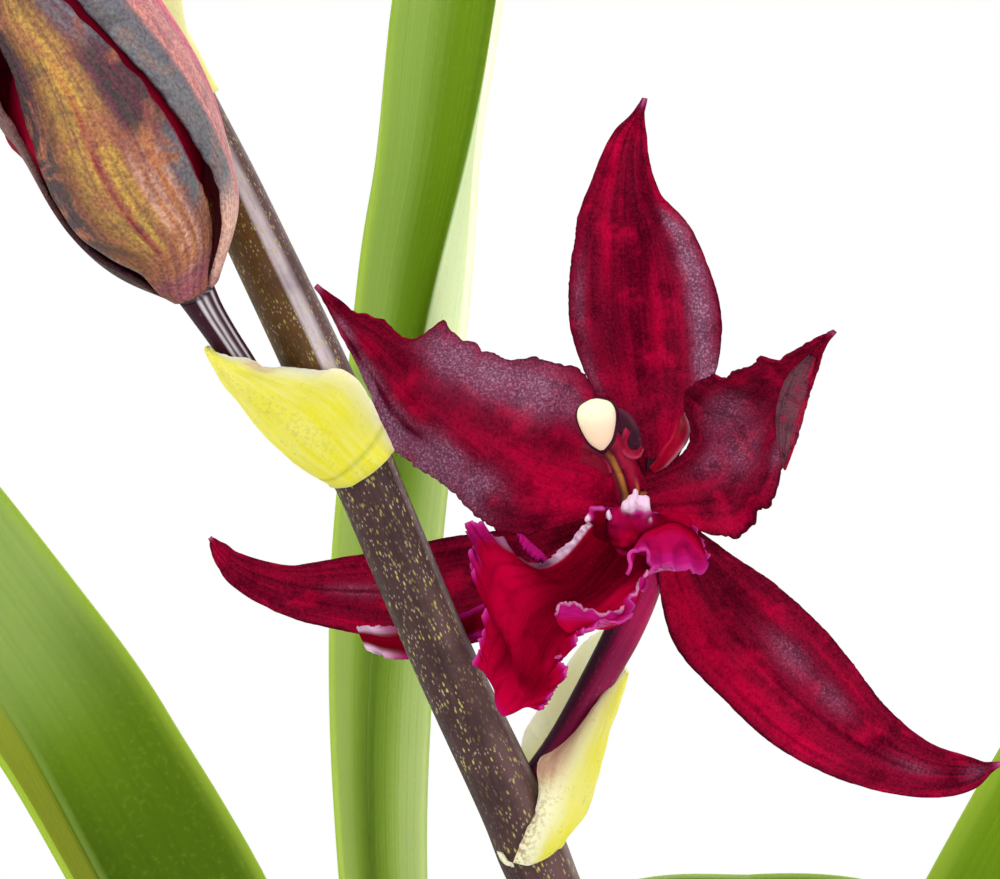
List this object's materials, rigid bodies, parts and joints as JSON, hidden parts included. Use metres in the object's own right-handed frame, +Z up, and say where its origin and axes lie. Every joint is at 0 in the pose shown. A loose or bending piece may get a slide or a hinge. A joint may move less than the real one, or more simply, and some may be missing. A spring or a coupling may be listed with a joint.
{
  "type": "potted orchid",
  "caption": "Potted orchid with flattened pseudobulbs, strap leaves and an arching spike that carries a dark red open flower, an opening bud and closed buds, in a plain clay pot of bark.",
  "frame": {"origin": "centre of the pot's foot, on the surface that it stands on", "axes": "+Z up; -Y towards the viewer of the open flower's front; +X to that viewer's right"},
  "size_m": [0.3606, 0.2385, 0.4651],
  "materials": {
    "clay": "unglazed terracotta, matt, with faint turning rings",
    "bark": "coarse dry bark chips, rough",
    "bulb": "living plant tissue, smooth and slightly waxy, green to olive",
    "leaf": "living leaf, satin mid green with a paler midrib",
    "stem": "living flower stem, satin dark brown-purple with cream flecks",
    "bract": "thin dry-edged bract, satin lemon yellow with brown stipple",
    "stalk": "living flower stalk, glossy dark purple with pale streaks",
    "petal": "living petal tissue, velvety crimson mottled with dark maroon",
    "lip": "living petal tissue, velvety crimson with magenta frilled edges",
    "column": "living flower tissue, waxy red with orange streaks",
    "cap": "waxy ivory anther cap with a peach lower half",
    "bud": "living sepal tissue, olive gold with purple freckles and margins",
    "root": "corky silver-grey root covering, matt"
  },
  "bodies": {
    "root": {"anther_cap": "cap", "bark": "bark", "bud_bract": "bract", "bud_petals": "petal", "bud_sepal_left": "bud", "bud_sepal_near": "bud", "bud_sepal_right": "bud", "bud_stalk": "stalk", "column": "column", "dorsal_sepal": "petal", "flower_bract": "bract", "flower_spike": "stem", "flower_stalk": "stalk", "leaf_back_arch": "leaf", "leaf_back_left": "leaf", "leaf_low_left": "leaf", "leaf_low_right": "leaf", "leaf_middle_back": "leaf", "leaf_side_left": "leaf", "leaf_side_right": "leaf", "leaf_view_left": "leaf", "leaf_view_middle": "leaf", "leaf_view_right": "leaf", "left_petal": "petal", "left_sepal": "petal", "lip": "lip", "lower_1_sheath": "bract", "lower_2_sheath": "bract", "pot": "clay", "pseudobulb_back": "bulb", "pseudobulb_front": "bulb", "pseudobulb_middle": "bulb", "right_petal": "petal", "right_sepal": "petal", "root_back": "root", "root_front": "root", "root_left": "root", "root_right": "root", "tip_bud": "bud", "upper_1_bract": "bract", "upper_1_bud": "bud", "upper_1_stalk": "stalk", "upper_2_bract": "bract", "upper_2_bud": "bud", "upper_2_stalk": "stalk", "upper_3_bract": "bract", "upper_3_bud": "bud", "upper_3_stalk": "stalk"}
  },
  "joints": []
}
